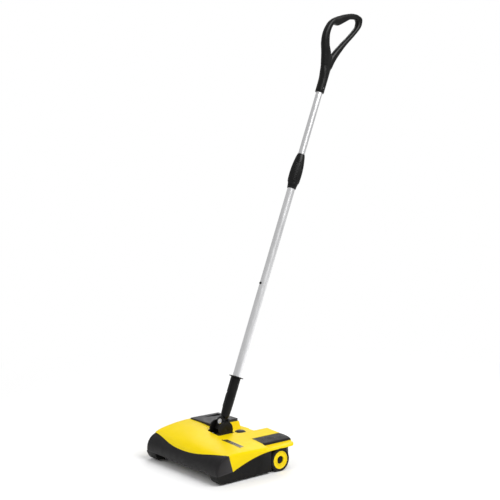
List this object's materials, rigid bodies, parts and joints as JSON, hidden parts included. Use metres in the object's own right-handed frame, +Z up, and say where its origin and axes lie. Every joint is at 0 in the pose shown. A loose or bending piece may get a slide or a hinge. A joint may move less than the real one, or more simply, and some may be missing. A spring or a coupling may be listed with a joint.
{
  "type": "walk behind sweeper",
  "caption": "Low cordless floor sweeper with a powered brush roller, lift-out dust box and battery, and a jointed telescopic handle with a loop grip.",
  "frame": {"origin": "middle of the floor area under the whole object, handle included, with the handle at its normal lean and length", "axes": "+Z up, the bumper faces -Y and the handle leans to +Y, +X is the side of the battery"},
  "size_m": [0.322, 0.6748, 1.2695],
  "materials": {
    "hood_yellow": "glossy moulded plastic",
    "bumper_grey": "satin moulded plastic",
    "chassis_black": "fine textured moulded plastic",
    "panel_grey": "satin moulded plastic",
    "joint_black": "satin moulded plastic",
    "grip_black": "satin gloss moulded plastic",
    "tube_aluminium": "satin drawn aluminium",
    "bright_steel": "bright turned steel",
    "spring_steel": "plain drawn wire",
    "tyre_rubber": "matte moulded rubber",
    "wheel_yellow": "glossy moulded plastic",
    "bristle_black": "nylon filament",
    "core_grey": "moulded plastic",
    "bronze": "sintered bronze",
    "contact_brass": "bright pressed brass",
    "motor_iron": "wound iron core",
    "board_green": "solder mask",
    "battery_black": "moulded plastic over cells",
    "badge_black": "printed film",
    "natural_nylon": "unpigmented nylon"
  },
  "bodies": {
    "housing": {"chassis": "chassis_black", "top_hood": "hood_yellow", "front_bumper": "bumper_grey", "hood_badge": "badge_black", "hood_screws": "bright_steel", "brush_bushings": "bronze", "motor_can": "bright_steel", "motor_bracket": "chassis_black", "drive_belt": "tyre_rubber", "circuit_board": "board_green", "micro_switch": "panel_grey", "foot_switch_spring": "spring_steel", "charging_socket": "joint_black", "battery_contacts": "contact_brass", "wheel_axles": "bright_steel", "roller_pins": "bright_steel", "joint_base": "joint_black", "joint_screws": "bright_steel", "pitch_pin": "bright_steel"},
    "motor_armature": {"motor_rotor": "motor_iron", "motor_pulley": "core_grey"},
    "brush": {"brush_core": "core_grey", "brush_bristles": "bristle_black", "brush_pulley": "core_grey"},
    "foot_button": {"foot_switch": "panel_grey"},
    "battery": {"battery_pack": "battery_black", "battery_pad": "panel_grey", "latch_spring": "spring_steel"},
    "latch": {"battery_latch": "panel_grey"},
    "dust_box": {"dust_container": "panel_grey", "container_lid": "panel_grey", "container_seal": "tyre_rubber"},
    "wheel_left": {"wheel_hub_left": "wheel_yellow", "wheel_tyre_left": "tyre_rubber", "wheel_cap_left": "chassis_black"},
    "wheel_right": {"wheel_hub_right": "wheel_yellow", "wheel_tyre_right": "tyre_rubber", "wheel_cap_right": "chassis_black"},
    "roller_left": {"front_roller_left": "chassis_black"},
    "roller_right": {"front_roller_right": "chassis_black"},
    "knuckle": {"joint_knuckle": "joint_black", "roll_pin": "bright_steel"},
    "lower_handle": {"handle_socket": "joint_black", "socket_ring": "joint_black", "lower_tube": "tube_aluminium", "middle_tube": "tube_aluminium", "snap_spring": "spring_steel", "clamp_body": "joint_black", "clamp_collet": "natural_nylon"},
    "tube_button": {"snap_button": "joint_black"},
    "clamp_grip": {"clamp_collar": "grip_black"},
    "upper_handle": {"upper_tube": "tube_aluminium", "loop_shell_left": "grip_black", "loop_shell_right": "grip_black", "loop_screws": "bright_steel", "handle_rivet": "spring_steel"}
  },
  "joints": [
    {"name": "brush_spin", "type": "hinge", "parent": "housing", "child": "brush", "pos_m": [0, -0.27586, 0.033], "axis": [1, 0, 0], "continuous": true},
    {"name": "motor_spin", "type": "hinge", "parent": "housing", "child": "motor_armature", "pos_m": [0, -0.20586, 0.046], "axis": [1, 0, 0], "continuous": true},
    {"name": "foot_switch_press", "type": "slide", "parent": "housing", "child": "foot_button", "axis": [0, 0, -1], "range_m": [0, 0.004], "stiffness_N_per_m": 1500, "springref_m": -0.002, "deforming": ["foot_switch_spring"]},
    {"name": "battery_lift", "type": "slide", "parent": "housing", "child": "battery", "axis": [0, 0, 1], "range_m": [0, 0.04]},
    {"name": "battery_latch_press", "type": "slide", "parent": "battery", "child": "latch", "axis": [0, -1, 0], "range_m": [0, 0.003], "stiffness_N_per_m": 600, "springref_m": -0.002, "deforming": ["latch_spring"]},
    {"name": "dust_box_lift", "type": "slide", "parent": "housing", "child": "dust_box", "axis": [0, 0, 1], "range_m": [0, 0.095]},
    {"name": "wheel_left_spin", "type": "hinge", "parent": "housing", "child": "wheel_left", "pos_m": [-0.153, -0.12436, 0.0305], "axis": [1, 0, 0], "continuous": true},
    {"name": "wheel_right_spin", "type": "hinge", "parent": "housing", "child": "wheel_right", "pos_m": [0.153, -0.12436, 0.0305], "axis": [1, 0, 0], "continuous": true},
    {"name": "roller_left_spin", "type": "hinge", "parent": "housing", "child": "roller_left", "pos_m": [-0.1413, -0.31386, 0.007], "axis": [1, 0, 0], "continuous": true},
    {"name": "roller_right_spin", "type": "hinge", "parent": "housing", "child": "roller_right", "pos_m": [0.1413, -0.31386, 0.007], "axis": [1, 0, 0], "continuous": true},
    {"name": "handle_pitch", "type": "hinge", "parent": "housing", "child": "knuckle", "pos_m": [0, -0.19956, 0.0952], "axis": [-1, 0, 0], "range_deg": [-25, 50]},
    {"name": "handle_tilt", "type": "hinge", "parent": "knuckle", "child": "lower_handle", "pos_m": [0, -0.19302, 0.11197], "axis": [0, 0.9317, -0.3633], "range_deg": [-30, 30]},
    {"name": "tube_button_press", "type": "slide", "parent": "lower_handle", "child": "tube_button", "axis": [0, 0.9317, -0.3633], "range_m": [0, 0.003], "stiffness_N_per_m": 600, "springref_m": -0.002, "deforming": ["snap_spring"]},
    {"name": "clamp_twist", "type": "hinge", "parent": "lower_handle", "child": "clamp_grip", "pos_m": [0, 0.07288, 0.79397], "axis": [0, 0.3633, 0.9317], "range_deg": [0, 90]},
    {"name": "handle_telescope", "type": "slide", "parent": "lower_handle", "child": "upper_handle", "axis": [0, 0.3633, 0.9317], "range_m": [-0.17, 0.04]}
  ],
  "couplings": [
    {"joint": "motor_spin", "follows": "brush_spin", "ratio": 3}
  ]
}
